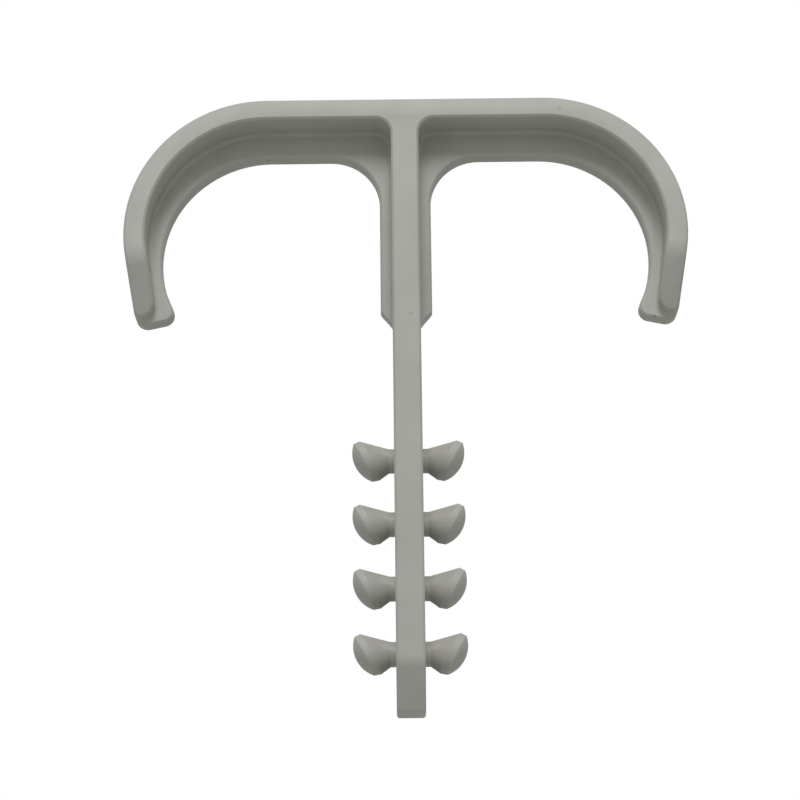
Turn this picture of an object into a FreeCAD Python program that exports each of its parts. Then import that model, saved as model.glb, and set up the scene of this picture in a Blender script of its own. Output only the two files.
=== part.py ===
"""Double pipe clamp: one moulded plastic piece that holds two pipes against a wall or floor.

A flat top bar bends down at both ends into hook arms of T section, a wide flange outside and a thin
rib inside. The rib's inner edge is the seat of a pipe. A blade-like shank with leaning barbs goes
down from the middle of the bar and is pushed into a drilled hole. The two halves of the mould part
at mid-depth, so the piece is the same in front and behind, left and right.

Frame, in millimetres: Z along the shank, Z = 0 the surface that the pipes lie on, X towards the
right-hand arm, Y through the depth. The model is a quarter, mirrored twice.
"""
import FreeCAD, Part
import math
import os
import Sketcher

Vector = FreeCAD.Vector

doc = FreeCAD.newDocument("double_pipe_clamp")

# Driving dimensions, millimetres and degrees.
sizes = doc.addObject("Spreadsheet::Sheet", "sizes")
DIMENSIONS = {
    "pipe_diameter": 22.0,
    "seat_clearance": 0.1,
    "half_width": 28.3,
    "arm_radius": 14.2,
    "arm_lean": 8.0,
    "tip_lean": 25.0,
    "tip_level": 5.3,
    "tip_slope": 12.0,
    "tip_outer_round": 1.2,
    "tip_inner_round": 1.1,
    "flange_depth": 9.6,
    "flange_thickness": 2.1,
    "rib_drop": 4.8,
    "rib_thickness": 1.8,
    "rib_corner": 5.0,
    "rib_half_width": 2.6,
    "rib_end_level": 3.2,
    "rib_end_rise": 2.2,
    "column_fillet": 1.6,
    "nose_level": 6.0,
    "nose_round": 1.3,
    "ramp_begin": 11.2,
    "ramp_angle": 29.0,
    "ramp_round": 4.0,
    "ramp_foot": 4.4,
    "shank_width": 2.8,
    "shank_length": 35.4,
    "shank_end_round": 0.3,
    "point_begin": 5.1,
    "point_angle": 32.5,
    "point_round": 2.5,
    "edge_break": 0.22,
    "root_fillet": 0.45,
    "barb_pitch": 6.45,
    "barb_count": 4,
    "barb_level": 10.16,
    "barb_neck": 1.22,
    "barb_neck_end": 1.95,
    "barb_tilt": 27.0,
    "barb_rim": 2.36,
    "barb_rim_place": 4.22,
    "barb_dome": 3.0,
    "barb_rim_break": 0.4,
}
for row, (alias, value) in enumerate(DIMENSIONS.items(), start=1):
    sizes.set(f"A{row}", alias)
    sizes.set(f"B{row}", str(value))
    sizes.setAlias(f"B{row}", alias)
doc.recompute()


def size(alias):
    return float(sizes.get(alias))


body = doc.addObject("PartDesign::Body", "double_pipe_clamp")
body.Label = "double_pipe_clamp"
origin = {feature.Role: feature for feature in body.Origin.OriginFeatures}

# Distance within which a point lies on a plane, and angle under which two faces meet smoothly.
NEAR = 1e-4
SMOOTH = 0.05


def new_sketch(name, plane, offset=Vector(), turn=0.0):
    """Sketch on one of the body's origin planes, moved off it and turned about its own first axis."""
    sketch = body.newObject("Sketcher::SketchObject", name)
    sketch.AttachmentSupport = [(origin[plane], "")]
    sketch.MapMode = "FlatFace"
    sketch.AttachmentOffset = FreeCAD.Placement(offset, FreeCAD.Rotation(Vector(1, 0, 0), turn))
    return sketch


def rounded_outline(sketch, corners):
    """Closed outline through corners (u, v, radius), with an arc at each corner that has a radius.

    Returns the lines, line i leaving corner i, and the arcs by corner.
    """
    points = [Vector(u, v, 0) for u, v, radius in corners]
    bends = []
    for i, (u, v, radius) in enumerate(corners):
        back = (points[i - 1] - points[i]).normalize()
        ahead = (points[(i + 1) % len(points)] - points[i]).normalize()
        half = back.getAngle(ahead) / 2
        reach = radius / math.tan(half)
        centre = points[i] + (back + ahead).normalize() * (radius / math.sin(half))
        turns_left = ahead.cross(back).z > 0
        bends.append((points[i] + back * reach, points[i] + ahead * reach, centre, turns_left))
    lines, arcs = [], {}
    for i in range(len(points)):
        start, end = bends[i][1], bends[(i + 1) % len(points)][0]
        lines.append(sketch.addGeometry(Part.LineSegment(start, end)))
        if abs(end.x - start.x) < NEAR:
            sketch.addConstraint(Sketcher.Constraint("Vertical", lines[i]))
        elif abs(end.y - start.y) < NEAR:
            sketch.addConstraint(Sketcher.Constraint("Horizontal", lines[i]))
    for i, (enter, leave, centre, turns_left) in enumerate(bends):
        radius = corners[i][2]
        if radius == 0:
            sketch.addConstraint(Sketcher.Constraint("Coincident", lines[i - 1], 2, lines[i], 1))
            continue
        first, last = (enter, leave) if turns_left else (leave, enter)
        angles = [math.atan2(end.y - centre.y, end.x - centre.x) for end in (first, last)]
        circle = Part.Circle(centre, Vector(0, 0, 1), radius)
        arcs[i] = sketch.addGeometry(Part.ArcOfCircle(circle, *angles))
        start, finish = (1, 2) if turns_left else (2, 1)
        sketch.addConstraint(Sketcher.Constraint("Tangent", lines[i - 1], 2, arcs[i], start))
        sketch.addConstraint(Sketcher.Constraint("Tangent", arcs[i], finish, lines[i], 1))
    return lines, arcs


def drive(sketch, name, expression, kind, *parts):
    """Adds a named dimension to a sketch, at the size it is drawn, and binds it to the sheet."""
    value = float(sketch.evalExpression(expression))
    if kind == "Angle":
        value = math.radians(value)
    index = sketch.addConstraint(Sketcher.Constraint(kind, *parts, value))
    sketch.renameConstraint(index, name)
    sketch.setExpression(f"Constraints.{name}", expression)


def leaning_corner(centre, radius, lean, height):
    """Where a line tangent to a circle, lean degrees below its right-hand end, meets a height."""
    turn = math.radians(lean)
    touch = centre + Vector(math.cos(turn), -math.sin(turn), 0) * radius
    climb = (height - touch.y) / math.cos(turn)
    return touch + Vector(math.sin(turn), math.cos(turn), 0) * climb


# Heights that several features share, from the surface that the pipes lie on.
seat_radius = size("pipe_diameter") / 2 + size("seat_clearance")
seat_centre = Vector(size("rib_half_width") + seat_radius, size("pipe_diameter") / 2, 0)
seat_top = seat_centre.y + seat_radius
top = seat_top + size("rib_drop")
SEAT_TOP = "(sizes.pipe_diameter + sizes.seat_clearance)"
TOP = f"({SEAT_TOP} + sizes.rib_drop)"
BEND = "(sizes.half_width - sizes.arm_radius)"
bar_underside = top - size("flange_thickness")
bend_centre = Vector(size("half_width") - size("arm_radius"), top - size("arm_radius"), 0)
shank_half = size("shank_width") / 2
arm_turn = math.radians(size("arm_lean"))
end_turn = math.radians(size("tip_slope"))

# The arm's tip: the centre of its outer round, then the sharp corners that the rounds take off.
tip_centre = leaning_corner(
    bend_centre, size("arm_radius") - size("tip_outer_round"), size("arm_lean"), size("tip_level"))
inward = Vector(-math.cos(end_turn), math.sin(end_turn), 0)
upward = Vector(math.sin(arm_turn), math.cos(arm_turn), 0)
tip_outer = tip_centre - (inward + upward).normalize() * (
    size("tip_outer_round") / math.sin(inward.getAngle(upward) / 2))
outer_corner = leaning_corner(bend_centre, size("arm_radius"), size("arm_lean"), top)
seat_corner = leaning_corner(seat_centre, seat_radius, size("tip_lean"), seat_top)
seat_side = Vector(math.sin(math.radians(size("tip_lean"))), math.cos(math.radians(size("tip_lean"))), 0)
gap = seat_corner - tip_outer
tip_inner = tip_outer + inward * (gap.cross(seat_side).z / inward.cross(seat_side).z)

# Front half of the rib plate: it follows both arms inside the flange and runs down the column.
rib_sketch = new_sketch("rib_outline", "XZ_Plane")
lines, arcs = rounded_outline(rib_sketch, [
    (0, size("rib_end_level"), 0),
    (shank_half / 2, size("rib_end_level"), 0),
    (size("rib_half_width"), size("rib_end_level") + size("rib_end_rise"), 0),
    (size("rib_half_width"), seat_top, size("rib_corner")),
    (seat_corner.x, seat_top, seat_radius),
    (tip_inner.x, tip_inner.y, size("tip_inner_round")),
    (tip_outer.x, tip_outer.y, size("tip_outer_round")),
    (outer_corner.x, top, size("arm_radius")),
    (0, top, 0),
])
rib_sketch.addConstraint(Sketcher.Constraint("PointOnObject", lines[8], 1, -2))
drive(rib_sketch, "end_level", "sizes.rib_end_level", "DistanceY", -1, 1, lines[0], 1)
drive(rib_sketch, "end_flat", "sizes.shank_width / 4", "DistanceX", -1, 1, lines[1], 1)
drive(rib_sketch, "end_rise", "sizes.rib_end_rise", "DistanceY", lines[1], 1, lines[1], 2)
drive(rib_sketch, "half_width", "sizes.rib_half_width", "DistanceX", -1, 1, lines[2], 1)
drive(rib_sketch, "corner", "sizes.rib_corner", "Radius", arcs[3])
drive(rib_sketch, "seat_top", SEAT_TOP, "DistanceY", -1, 1, lines[3], 1)
drive(rib_sketch, "seat", "sizes.pipe_diameter / 2 + sizes.seat_clearance", "Radius", arcs[4])
drive(rib_sketch, "seat_place", "sizes.rib_half_width + sizes.pipe_diameter / 2 + sizes.seat_clearance",
      "DistanceX", -1, 1, arcs[4], 3)
drive(rib_sketch, "tip_lean", "-90 - sizes.tip_lean", "Angle", lines[4])
drive(rib_sketch, "tip_inner", "sizes.tip_inner_round", "Radius", arcs[5])
drive(rib_sketch, "tip_slope", "-sizes.tip_slope", "Angle", lines[5])
drive(rib_sketch, "tip_outer", "sizes.tip_outer_round", "Radius", arcs[6])
drive(rib_sketch, "tip_level", "sizes.tip_level", "DistanceY", -1, 1, arcs[6], 3)
drive(rib_sketch, "arm_lean", "90 - sizes.arm_lean", "Angle", lines[6])
drive(rib_sketch, "bend", "sizes.arm_radius", "Radius", arcs[7])
drive(rib_sketch, "bend_place", BEND, "DistanceX", -1, 1, arcs[7], 3)
drive(rib_sketch, "top", TOP, "DistanceY", -1, 1, lines[7], 1)

rib = body.newObject("PartDesign::Pad", "rib")
rib.Profile = rib_sketch
rib.setExpression("Length", "sizes.rib_thickness / 2")
doc.recompute()

# Front half of the flange, the column and the shank, at their full depth.
flange_sketch = new_sketch("flange_outline", "XZ_Plane")
inner_radius = size("arm_radius") - size("flange_thickness")
inner_corner = leaning_corner(bend_centre, inner_radius, size("arm_lean"), bar_underside)
flange_end = tip_outer + inward * (size("flange_thickness") / math.cos(end_turn - arm_turn))
lines, arcs = rounded_outline(flange_sketch, [
    (0, -size("shank_length"), 0),
    (shank_half, -size("shank_length"), size("shank_end_round")),
    (shank_half, bar_underside, size("column_fillet")),
    (inner_corner.x, bar_underside, inner_radius),
    (flange_end.x, flange_end.y, 0),
    (tip_outer.x, tip_outer.y, size("tip_outer_round")),
    (outer_corner.x, top, size("arm_radius")),
    (0, top, 0),
])
flange_sketch.addConstraint(Sketcher.Constraint("PointOnObject", lines[7], 1, -2))
drive(flange_sketch, "shank_end", "sizes.shank_length", "DistanceY", lines[0], 1, -1, 1)
drive(flange_sketch, "shank_half", "sizes.shank_width / 2", "DistanceX", -1, 1, lines[1], 1)
drive(flange_sketch, "end_round", "sizes.shank_end_round", "Radius", arcs[1])
drive(flange_sketch, "column_fillet", "sizes.column_fillet", "Radius", arcs[2])
drive(flange_sketch, "underside", f"{TOP} - sizes.flange_thickness", "DistanceY", -1, 1, lines[2], 1)
drive(flange_sketch, "inner_bend", "sizes.arm_radius - sizes.flange_thickness", "Radius", arcs[3])
drive(flange_sketch, "inner_place", BEND, "DistanceX", -1, 1, arcs[3], 3)
drive(flange_sketch, "inner_lean", "-90 - sizes.arm_lean", "Angle", lines[3])
drive(flange_sketch, "tip_slope", "-sizes.tip_slope", "Angle", lines[4])
drive(flange_sketch, "tip_outer", "sizes.tip_outer_round", "Radius", arcs[5])
drive(flange_sketch, "tip_level", "sizes.tip_level", "DistanceY", -1, 1, arcs[5], 3)
drive(flange_sketch, "arm_lean", "90 - sizes.arm_lean", "Angle", lines[5])
drive(flange_sketch, "bend", "sizes.arm_radius", "Radius", arcs[6])
drive(flange_sketch, "bend_place", BEND, "DistanceX", -1, 1, arcs[6], 3)
drive(flange_sketch, "top", TOP, "DistanceY", -1, 1, lines[6], 1)

flange = body.newObject("PartDesign::Pad", "flange")
flange.Profile = flange_sketch
flange.setExpression("Length", "sizes.flange_depth / 2")
doc.recompute()


def cut(name, sketch, through_both):
    """Pocket through all, checked to have taken material away."""
    before = body.Tip.Shape.Volume
    pocket = body.newObject("PartDesign::Pocket", name)
    pocket.Profile = sketch
    pocket.Type = "ThroughAll"
    pocket.Midplane = through_both
    pocket.Reversed = not through_both
    doc.recompute()
    least_cut = 0.1
    if pocket.Shape.Volume > before - least_cut:
        raise RuntimeError(f"{name} cut nothing")


def sloping_cut(sketch, begin, angle, bend_round, foot):
    """Area in front of a slope: it leaves the flange's face in a round at begin and ends at foot.

    The height begin and the height foot are pairs (height, expression) in the sketch.
    """
    overrun = 2.0
    face = -size("flange_depth") / 2
    turn = math.radians(size(angle))
    radius = size(bend_round)
    centre = Vector(face + radius, begin[0], 0)
    leave = centre - Vector(math.cos(turn), math.sin(turn), 0) * radius
    end = Vector(leave.x + (leave.y - foot[0]) * math.tan(turn), foot[0], 0)
    low, outside = foot[0] - overrun, face - overrun
    circle = Part.Circle(centre, Vector(0, 0, 1), radius)
    bend = sketch.addGeometry(Part.ArcOfCircle(circle, math.pi, math.pi + turn))
    run = [leave, end, Vector(end.x, low, 0), Vector(outside, low, 0),
           Vector(outside, begin[0], 0), Vector(face, begin[0], 0)]
    sides = [sketch.addGeometry(Part.LineSegment(a, b)) for a, b in zip(run, run[1:])]
    sketch.addConstraint(Sketcher.Constraint("Tangent", bend, 2, sides[0], 1))
    for first, second in zip(sides, sides[1:]):
        sketch.addConstraint(Sketcher.Constraint("Coincident", first, 2, second, 1))
    sketch.addConstraint(Sketcher.Constraint("Coincident", sides[4], 2, bend, 1))
    for upright in (sides[1], sides[3]):
        sketch.addConstraint(Sketcher.Constraint("Vertical", upright))
    for flat in (sides[2], sides[4]):
        sketch.addConstraint(Sketcher.Constraint("Horizontal", flat))
    sketch.addConstraint(Sketcher.Constraint("Horizontal", bend, 3, bend, 1))
    drive(sketch, "bend_round", f"sizes.{bend_round}", "Radius", bend)
    drive(sketch, "slope", f"sizes.{angle} - 90", "Angle", sides[0])
    drive(sketch, "face", "sizes.flange_depth / 2", "DistanceX", bend, 1, -1, 1)
    drive(sketch, "outside", str(overrun), "DistanceX", sides[3], 1, bend, 1)
    drive(sketch, "below", str(overrun), "DistanceY", sides[1], 2, sides[1], 1)
    for name, line, (height, expression) in (("begin", sides[4], begin), ("foot", sides[1], foot)):
        ends = (-1, 1, line, 1) if height > 0 else (line, 1, -1, 1)
        drive(sketch, name, expression, "DistanceY", *ends)


# Each arm's flange slopes back towards the rib at its tip.
ramp_sketch = new_sketch("ramp_profile", "YZ_Plane", Vector(0, 0, seat_centre.x))
sloping_cut(ramp_sketch, (size("ramp_begin"), "sizes.ramp_begin"), "ramp_angle", "ramp_round",
            (size("ramp_foot"), "sizes.ramp_foot"))
cut("ramp", ramp_sketch, through_both=False)

# The shank's point: front and back slope in to a blunt end.
point_sketch = new_sketch("point_profile", "YZ_Plane")
point_height = size("point_begin") - size("shank_length")
sloping_cut(point_sketch, (point_height, "sizes.shank_length - sizes.point_begin"), "point_angle",
            "point_round", (-size("shank_length"), "sizes.shank_length"))
cut("point", point_sketch, through_both=True)

# The flange stops short of the rib's end in a round nose that runs into the arm's outer wall.
rib_face = -size("rib_thickness") / 2
nose_sketch = new_sketch("nose_outline", "XZ_Plane", Vector(0, 0, -rib_face))
nose_round = size("nose_round")
nose_centre = leaning_corner(bend_centre, inner_radius + nose_round, size("arm_lean"), size("nose_level"))
arm_out = Vector(math.cos(arm_turn), -math.sin(arm_turn), 0)
to_wall = arm_out * nose_round
to_side = arm_out * (nose_round + size("flange_thickness"))
past_tip = upward * -size("arm_radius")
run = [nose_centre + reach for reach in (
    to_wall, to_side, to_side + past_tip, past_tip - to_side, -to_side, -to_wall)]
nose_circle = Part.Circle(nose_centre, Vector(0, 0, 1), nose_round)
nose_arc = nose_sketch.addGeometry(Part.ArcOfCircle(nose_circle, math.pi - arm_turn, 2 * math.pi - arm_turn))
sides = [nose_sketch.addGeometry(Part.LineSegment(a, b)) for a, b in zip(run, run[1:])]
for first, second in zip(sides, sides[1:]):
    nose_sketch.addConstraint(Sketcher.Constraint("Coincident", first, 2, second, 1))
nose_sketch.addConstraint(Sketcher.Constraint("Coincident", nose_arc, 2, sides[0], 1))
nose_sketch.addConstraint(Sketcher.Constraint("Coincident", sides[4], 2, nose_arc, 1))
for side in (sides[0], sides[4]):
    nose_sketch.addConstraint(Sketcher.Constraint("PointOnObject", nose_arc, 3, side))
for first, second in ((sides[0], sides[2]), (sides[0], sides[4]), (sides[1], sides[3])):
    nose_sketch.addConstraint(Sketcher.Constraint("Parallel", first, second))
nose_sketch.addConstraint(Sketcher.Constraint("Perpendicular", sides[0], sides[1]))
drive(nose_sketch, "nose_round", "sizes.nose_round", "Radius", nose_arc)
drive(nose_sketch, "lean", "-sizes.arm_lean", "Angle", sides[0])
drive(nose_sketch, "outer_side", "sizes.flange_thickness", "Distance", sides[0])
drive(nose_sketch, "inner_side", "sizes.flange_thickness", "Distance", sides[4])
drive(nose_sketch, "past_tip", "sizes.arm_radius", "Distance", sides[1])
drive(nose_sketch, "level", "sizes.nose_level", "DistanceY", -1, 1, nose_arc, 3)
LEAN = "(sizes.arm_lean * 1 deg)"
drive(nose_sketch, "place",
      f"{BEND} + (sizes.arm_radius - sizes.flange_thickness + sizes.nose_round) / cos{LEAN}"
      f" + (sizes.nose_level - {TOP} + sizes.arm_radius) * tan{LEAN}", "DistanceX", -1, 1, nose_arc, 3)
cut("nose", nose_sketch, through_both=False)


def soften(kind, name, test, width):
    """Fillets or chamfers the sharp edges of the body so far whose middle passes the test."""
    base = body.Tip
    chosen = []
    for number, edge in enumerate(base.Shape.Edges, start=1):
        middle = edge.valueAt((edge.FirstParameter + edge.LastParameter) / 2)
        faces = base.Shape.ancestorsOfType(edge, Part.Face)
        normals = [face.normalAt(*face.Surface.parameter(middle)) for face in faces]
        if normals[0].getAngle(normals[-1]) > SMOOTH and test(middle):
            chosen.append(f"Edge{number}")
    dressing = body.newObject(f"PartDesign::{kind}", name)
    dressing.Base = (base, chosen)
    dressing.setExpression("Radius" if kind == "Fillet" else "Size", width)
    doc.recompute()


rib_outline = rib_sketch.Shape.copy()


def on_mirror_plane(point):
    return point.x < NEAR or point.y > -NEAR


def on_rib_face(point):
    return abs(point.y - rib_face) < NEAR and not on_mirror_plane(point)


def on_rib_outline(point):
    """Whether a point lies above the rib's own outline, not at the foot of a wall that stands on it."""
    return Part.Vertex(point.x, 0, point.z).distToShape(rib_outline)[0] < NEAR


def on_wall_root(point):
    return on_rib_face(point) and not on_rib_outline(point)


def on_front(point):
    return point.y < rib_face - size("root_fillet") - NEAR and not on_mirror_plane(point)


# Fillets where the flange and the column stand on the rib, then the broken edges of the whole front:
# they run on round the rib's edge at the tip and along the seat.
soften("Fillet", "wall_roots", on_wall_root, "sizes.root_fillet")
soften("Chamfer", "front_edges", on_front, "sizes.edge_break")

# Second half of the mould, behind the parting plane.
front_and_back = body.newObject("PartDesign::Mirrored", "front_and_back")
front_and_back.TransformMode = "Whole shape"
front_and_back.MirrorPlane = (origin["XZ_Plane"], [""])
body.Tip = front_and_back
doc.recompute()

# Barb: a round neck that widens, leaning, to a tilted rim, and a dome that closes the rim.
neck_sketch = new_sketch("neck_section", "YZ_Plane", Vector(0, 0, size("barb_neck_end")))
neck_sketch.setExpression("AttachmentOffset.Base.z", "sizes.barb_neck_end")
neck_circle = Part.Circle(Vector(0, -size("barb_level"), 0), Vector(0, 0, 1), size("barb_neck"))
ring = neck_sketch.addGeometry(neck_circle)
neck_sketch.addConstraint(Sketcher.Constraint("PointOnObject", ring, 3, -2))
drive(neck_sketch, "level", "sizes.barb_level", "DistanceY", ring, 3, -1, 1)
drive(neck_sketch, "neck", "sizes.barb_neck", "Radius", ring)
neck = body.newObject("PartDesign::Pad", "neck")
neck.Profile = neck_sketch
neck.Reversed = True
neck.setExpression("Length", "sizes.barb_neck_end - sizes.shank_width / 4")
doc.recompute()

rim_place = Vector(0, -size("barb_level"), size("barb_rim_place"))
rim_sketch = new_sketch("rim_section", "YZ_Plane", rim_place, size("barb_tilt"))
rim_sketch.setExpression("AttachmentOffset.Base.y", "-sizes.barb_level")
rim_sketch.setExpression("AttachmentOffset.Base.z", "sizes.barb_rim_place")
rim_sketch.setExpression("AttachmentOffset.Rotation.Angle", "sizes.barb_tilt")
ring = rim_sketch.addGeometry(Part.Circle(Vector(), Vector(0, 0, 1), size("barb_rim")))
rim_sketch.addConstraint(Sketcher.Constraint("Coincident", ring, 3, -1, 1))
drive(rim_sketch, "rim", "sizes.barb_rim", "Radius", ring)
flare = body.newObject("PartDesign::AdditiveLoft", "flare")
flare.Profile = neck_sketch
flare.Sections = [rim_sketch]
flare.Ruled = True
doc.recompute()

dome_sketch = new_sketch("dome_profile", "XZ_Plane")
tilt = math.radians(size("barb_tilt"))
along = Vector(math.cos(tilt), -math.sin(tilt), 0)
across = Vector(math.sin(tilt), math.cos(tilt), 0)
rim_centre = Vector(size("barb_rim_place"), -size("barb_level"), 0)
rim_edge = rim_centre + across * size("barb_rim")
dome_turn = math.asin(size("barb_rim") / size("barb_dome"))
dome_centre = rim_centre - along * (size("barb_dome") * math.cos(dome_turn))
dome_top = dome_centre + along * size("barb_dome")
dome_circle = Part.Circle(dome_centre, Vector(0, 0, 1), size("barb_dome"))
arc = dome_sketch.addGeometry(Part.ArcOfCircle(dome_circle, -tilt, dome_turn - tilt))
base = dome_sketch.addGeometry(Part.LineSegment(rim_edge, rim_centre))
axis = dome_sketch.addGeometry(Part.LineSegment(rim_centre, dome_top))
dome_sketch.addConstraint(Sketcher.Constraint("Coincident", arc, 2, base, 1))
dome_sketch.addConstraint(Sketcher.Constraint("Coincident", base, 2, axis, 1))
dome_sketch.addConstraint(Sketcher.Constraint("Coincident", axis, 2, arc, 1))
dome_sketch.addConstraint(Sketcher.Constraint("PointOnObject", arc, 3, axis))
dome_sketch.addConstraint(Sketcher.Constraint("Perpendicular", base, axis))
drive(dome_sketch, "dome", "sizes.barb_dome", "Radius", arc)
drive(dome_sketch, "rim", "sizes.barb_rim", "Distance", base)
drive(dome_sketch, "tilt", "-sizes.barb_tilt", "Angle", axis)
drive(dome_sketch, "place", "sizes.barb_rim_place", "DistanceX", -1, 1, base, 2)
drive(dome_sketch, "level", "sizes.barb_level", "DistanceY", base, 2, -1, 1)
dome = body.newObject("PartDesign::Revolution", "dome")
dome.Profile = dome_sketch
dome.ReferenceAxis = (dome_sketch, [f"Edge{axis + 1}"])
dome.Angle = 360
doc.recompute()

barb_row = body.newObject("PartDesign::LinearPattern", "barb_row")
barb_row.Originals = [neck, flare, dome]
barb_row.Direction = (origin["Z_Axis"], [""])
barb_row.Reversed = True
barb_row.setExpression("Length", "sizes.barb_pitch * (sizes.barb_count - 1)")
barb_row.setExpression("Occurrences", "sizes.barb_count")
body.Tip = barb_row
doc.recompute()


def in_first_barb(point):
    """The same place in the first barb, for a point in any barb of the row."""
    number = round((-point.z - size("barb_level")) / size("barb_pitch"))
    return Vector(point.x, point.y, point.z + number * size("barb_pitch"))


def on_rim(point):
    arm = in_first_barb(point) - Vector(rim_centre.x, 0, rim_centre.y)
    return abs(arm.x * along.x + arm.z * along.y) < NEAR and abs(arm.Length - size("barb_rim")) < NEAR


soften("Chamfer", "barb_rims", on_rim, "sizes.barb_rim_break")

left_and_right = body.newObject("PartDesign::Mirrored", "left_and_right")
left_and_right.TransformMode = "Whole shape"
left_and_right.MirrorPlane = (origin["YZ_Plane"], [""])
body.Tip = left_and_right
doc.recompute()

for item in doc.Objects:
    if "Invalid" in item.State or "Error" in item.State:
        raise RuntimeError(f"{item.Name} failed: {item.State}")
    if item.isDerivedFrom("Sketcher::SketchObject") and not item.FullyConstrained:
        raise RuntimeError(f"{item.Name} is not fully constrained")
shape = body.Shape
if shape.isNull() or not shape.isValid() or len(shape.Solids) != 1:
    raise RuntimeError("the clamp is not one valid solid")

os.makedirs("parts", exist_ok=True)
shape.exportStep(f"parts/{body.Label}.step")
box = shape.optimalBoundingBox()
print(f"{body.Label}: {box.XLength:.2f} x {box.YLength:.2f} x {box.ZLength:.2f} mm, {shape.Volume:.0f} mm3")
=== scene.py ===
"""Double pipe clamp: the moulded grey piece, its finish, and a plain studio round it."""
import math

import bpy
from mathutils import Matrix, Vector


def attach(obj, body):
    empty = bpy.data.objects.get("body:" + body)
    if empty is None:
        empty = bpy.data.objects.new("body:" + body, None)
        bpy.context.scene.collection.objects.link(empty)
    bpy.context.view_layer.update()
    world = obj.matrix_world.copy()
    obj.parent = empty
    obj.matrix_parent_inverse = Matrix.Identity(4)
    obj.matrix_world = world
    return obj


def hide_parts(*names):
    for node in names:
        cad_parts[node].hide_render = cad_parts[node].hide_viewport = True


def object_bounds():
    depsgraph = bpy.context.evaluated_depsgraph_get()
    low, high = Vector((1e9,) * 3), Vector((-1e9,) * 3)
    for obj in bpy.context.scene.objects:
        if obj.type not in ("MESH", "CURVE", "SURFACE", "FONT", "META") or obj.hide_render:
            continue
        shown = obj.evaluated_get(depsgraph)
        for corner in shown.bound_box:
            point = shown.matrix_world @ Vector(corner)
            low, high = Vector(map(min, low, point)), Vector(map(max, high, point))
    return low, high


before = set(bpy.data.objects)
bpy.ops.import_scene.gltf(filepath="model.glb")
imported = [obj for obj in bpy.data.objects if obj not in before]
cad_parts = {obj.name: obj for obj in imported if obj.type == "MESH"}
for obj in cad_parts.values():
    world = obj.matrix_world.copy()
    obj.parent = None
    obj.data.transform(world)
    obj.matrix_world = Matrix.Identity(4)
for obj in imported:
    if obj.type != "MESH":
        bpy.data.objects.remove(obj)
cad_low, cad_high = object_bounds()

# Moulded clamp
# One piece of grey plastic, most likely polypropylene, from a two-part mould that opens along the pipes.
# It leaves the mould with rounded edges and a dull satin skin, with no paint and no second material.
cad_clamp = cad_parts["double_pipe_clamp"]
bpy.ops.object.select_all(action="DESELECT")
cad_clamp.select_set(True)
bpy.context.view_layer.objects.active = cad_clamp
bpy.ops.object.duplicate()
clamp = bpy.context.object
clamp.name = "moulded_clamp"
same_point = 1e-6
flat_within = math.radians(0.5)
bpy.ops.object.mode_set(mode="EDIT")
bpy.ops.mesh.select_all(action="SELECT")
bpy.ops.mesh.remove_doubles(threshold=same_point)
bpy.ops.mesh.dissolve_limited(angle_limit=flat_within)
bpy.ops.object.mode_set(mode="OBJECT")
edge_round = clamp.modifiers.new("edge_round", "BEVEL")
edge_round.width = 0.00012
edge_round.segments = 3
edge_round.limit_method = "ANGLE"
sharp_from = math.radians(25.0)
edge_round.angle_limit = sharp_from
bpy.ops.object.modifier_apply(modifier=edge_round.name)
smooth_within = math.radians(35.0)
bpy.ops.object.shade_smooth_by_angle(angle=smooth_within)

# The barbs' heads are shaded as one smooth form, rim and dome together. Places are in metres.
barbs_below = -0.004
head_from = 0.0021
points = clamp.data.vertices
for edge in clamp.data.edges:
    ends = [points[i].co for i in edge.vertices]
    if all(end.z < barbs_below and abs(end.x) > head_from for end in ends):
        edge.use_edge_sharp = False

grey_plastic = bpy.data.materials.new("grey_plastic")
grey_plastic.use_nodes = True
nodes = grey_plastic.node_tree.nodes
links = grey_plastic.node_tree.links
skin = nodes["Principled BSDF"]
skin.inputs["Roughness"].default_value = 0.52
skin.inputs["IOR"].default_value = 1.49
place = nodes.new("ShaderNodeTexCoord")

# The pigment is not quite even: pale and darker clouds a few millimetres across.
clouds = nodes.new("ShaderNodeTexNoise")
clouds.inputs["Scale"].default_value = 190.0
clouds.inputs["Detail"].default_value = 4.0
links.new(place.outputs["Object"], clouds.inputs["Vector"])
tint = nodes.new("ShaderNodeValToRGB")
tint.color_ramp.elements[0].position = 0.3
tint.color_ramp.elements[0].color = (0.385, 0.382, 0.350, 1.0)
tint.color_ramp.elements[1].position = 0.7
tint.color_ramp.elements[1].color = (0.425, 0.422, 0.388, 1.0)
links.new(clouds.outputs["Fac"], tint.inputs["Fac"])

# The mould's walls leave a very fine grain.
grain = nodes.new("ShaderNodeTexNoise")
grain.inputs["Scale"].default_value = 2600.0
grain.inputs["Detail"].default_value = 3.0
links.new(place.outputs["Object"], grain.inputs["Vector"])
relief = nodes.new("ShaderNodeBump")
relief.inputs["Strength"].default_value = 0.12
relief.inputs["Distance"].default_value = 0.0001
links.new(grain.outputs["Fac"], relief.inputs["Height"])
links.new(relief.outputs["Normal"], skin.inputs["Normal"])

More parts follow.
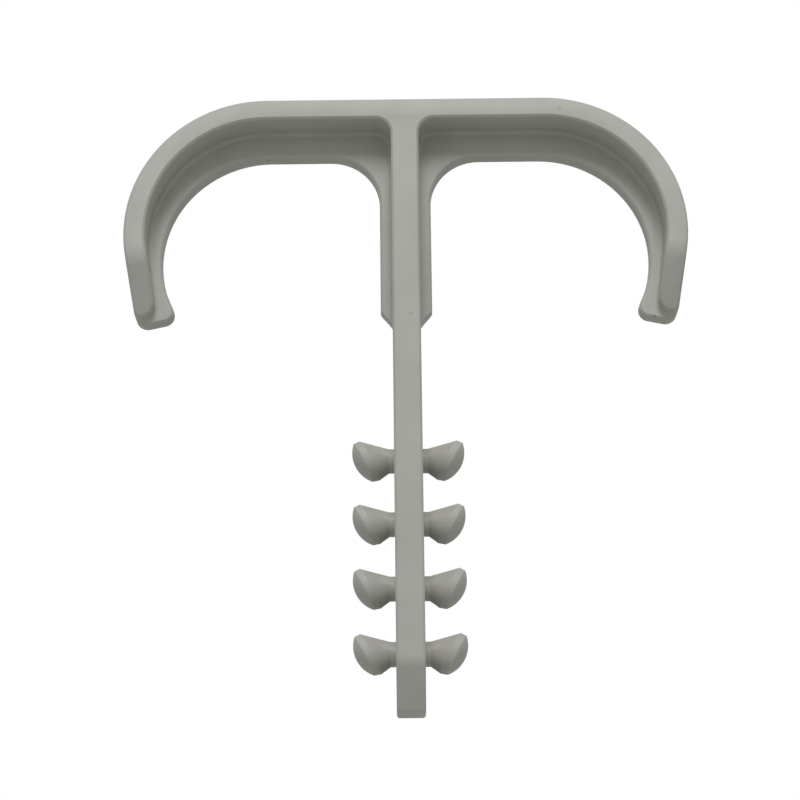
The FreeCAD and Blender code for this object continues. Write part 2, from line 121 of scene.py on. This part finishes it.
# A few small dark specks: on the bar, the column, a tip and under the rib.
# Each has its place, its radius and how much of the dark colour it takes.
pigment = tint.outputs["Color"]
speck_colour = (0.16, 0.158, 0.14, 1.0)
specks = (
    ((0.01585, -0.0048, 0.0257), 0.00030, 0.22),
    ((0.00044, -0.0048, 0.0037), 0.00028, 0.25),
    ((0.02496, -0.0009, 0.0044), 0.00022, 0.75),
    ((-0.0140, -0.0005, 0.0221), 0.00020, 0.75),
)
for speck_place, speck_radius, speck_strength in specks:
    reach = nodes.new("ShaderNodeVectorMath")
    reach.operation = "DISTANCE"
    links.new(place.outputs["Object"], reach.inputs[0])
    reach.inputs[1].default_value = speck_place
    inside = nodes.new("ShaderNodeMapRange")
    inside.inputs["From Min"].default_value = speck_radius / 2
    inside.inputs["From Max"].default_value = speck_radius
    inside.inputs["To Min"].default_value = speck_strength
    inside.inputs["To Max"].default_value = 0.0
    links.new(reach.outputs["Value"], inside.inputs["Value"])
    stain = nodes.new("ShaderNodeMix")
    stain.data_type = "RGBA"
    links.new(inside.outputs["Result"], stain.inputs["Factor"])
    links.new(pigment, stain.inputs["A"])
    stain.inputs["B"].default_value = speck_colour
    pigment = stain.outputs["Result"]
links.new(pigment, skin.inputs["Base Color"])

clamp.data.materials.clear()
clamp.data.materials.append(grey_plastic)
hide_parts("double_pipe_clamp")
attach(clamp, "root")

# Floor
# A plain pale sheet that is not part of the clamp. It lies well below it, out of the view from below,
# and reaches to the horizon in the views from other sides.
floor_gap = 1.0
floor_width = 80.0
bpy.ops.object.select_all(action="DESELECT")
bpy.ops.mesh.primitive_plane_add(size=floor_width, location=(0.0, 0.0, cad_low.z - floor_gap))
floor = bpy.context.object
floor.name = "floor"
floor_paint = bpy.data.materials.new("floor_paint")
floor_paint.use_nodes = True
floor_skin = floor_paint.node_tree.nodes["Principled BSDF"]
floor_skin.inputs["Base Color"].default_value = (0.80, 0.80, 0.78, 1.0)
floor_skin.inputs["Roughness"].default_value = 0.85
floor.data.materials.append(floor_paint)

# Light
# A square lamp above and in front of the clamp, and an even room round it that is seen as white.
# Neither is part of the clamp.
world = bpy.data.worlds.new("white_room")
bpy.context.scene.world = world
world.use_nodes = True
room = world.node_tree.nodes
room_light = room["Background"]
room_light.inputs["Color"].default_value = (1.0, 1.0, 1.0, 1.0)
room_light.inputs["Strength"].default_value = 0.54
seen_white = room.new("ShaderNodeBackground")
seen_white.inputs["Color"].default_value = (1.0, 1.0, 1.0, 1.0)
ray = room.new("ShaderNodeLightPath")
choice = room.new("ShaderNodeMixShader")
world.node_tree.links.new(ray.outputs["Is Camera Ray"], choice.inputs["Fac"])
world.node_tree.links.new(room_light.outputs["Background"], choice.inputs[1])
world.node_tree.links.new(seen_white.outputs["Background"], choice.inputs[2])
world.node_tree.links.new(choice.outputs["Shader"], room["World Output"].inputs["Surface"])

lamp_place = Vector((-0.02, -0.45, 0.44))
top_front = bpy.data.lights.new("top_front_lamp", "AREA")
top_front.size = 0.24
top_front.energy = 2.15
lamp = bpy.data.objects.new("top_front_lamp", top_front)
bpy.context.collection.objects.link(lamp)
lamp.location = lamp_place
lamp.rotation_euler = (-lamp_place).to_track_quat("-Z", "Y").to_euler()

# Camera
# In front of the clamp and below it, as in the photograph, with a slight roll.
# The lens is worked out so that the clamp has the same size in the picture.
image_width = 800
pixels_per_metre = 10000.0
camera_distance = 0.22
camera_elevation = math.radians(-17.0)
camera_roll = math.radians(0.65)
aim = Vector((-0.00076, 0.0, -0.0038))
lens = bpy.data.cameras.new("camera")
lens.sensor_width = 36.0
lens.lens = lens.sensor_width * pixels_per_metre * camera_distance / image_width
camera = bpy.data.objects.new("camera", lens)
bpy.context.collection.objects.link(camera)
back = Vector((0.0, -math.cos(camera_elevation), math.sin(camera_elevation)))
upright = Matrix.Rotation(math.pi / 2 - camera_elevation, 4, "X")
camera.matrix_world = (Matrix.Translation(aim + back * camera_distance) @ upright
                       @ Matrix.Rotation(-camera_roll, 4, "Z"))
bpy.context.scene.camera = camera
bpy.context.scene.view_settings.view_transform = "Standard"
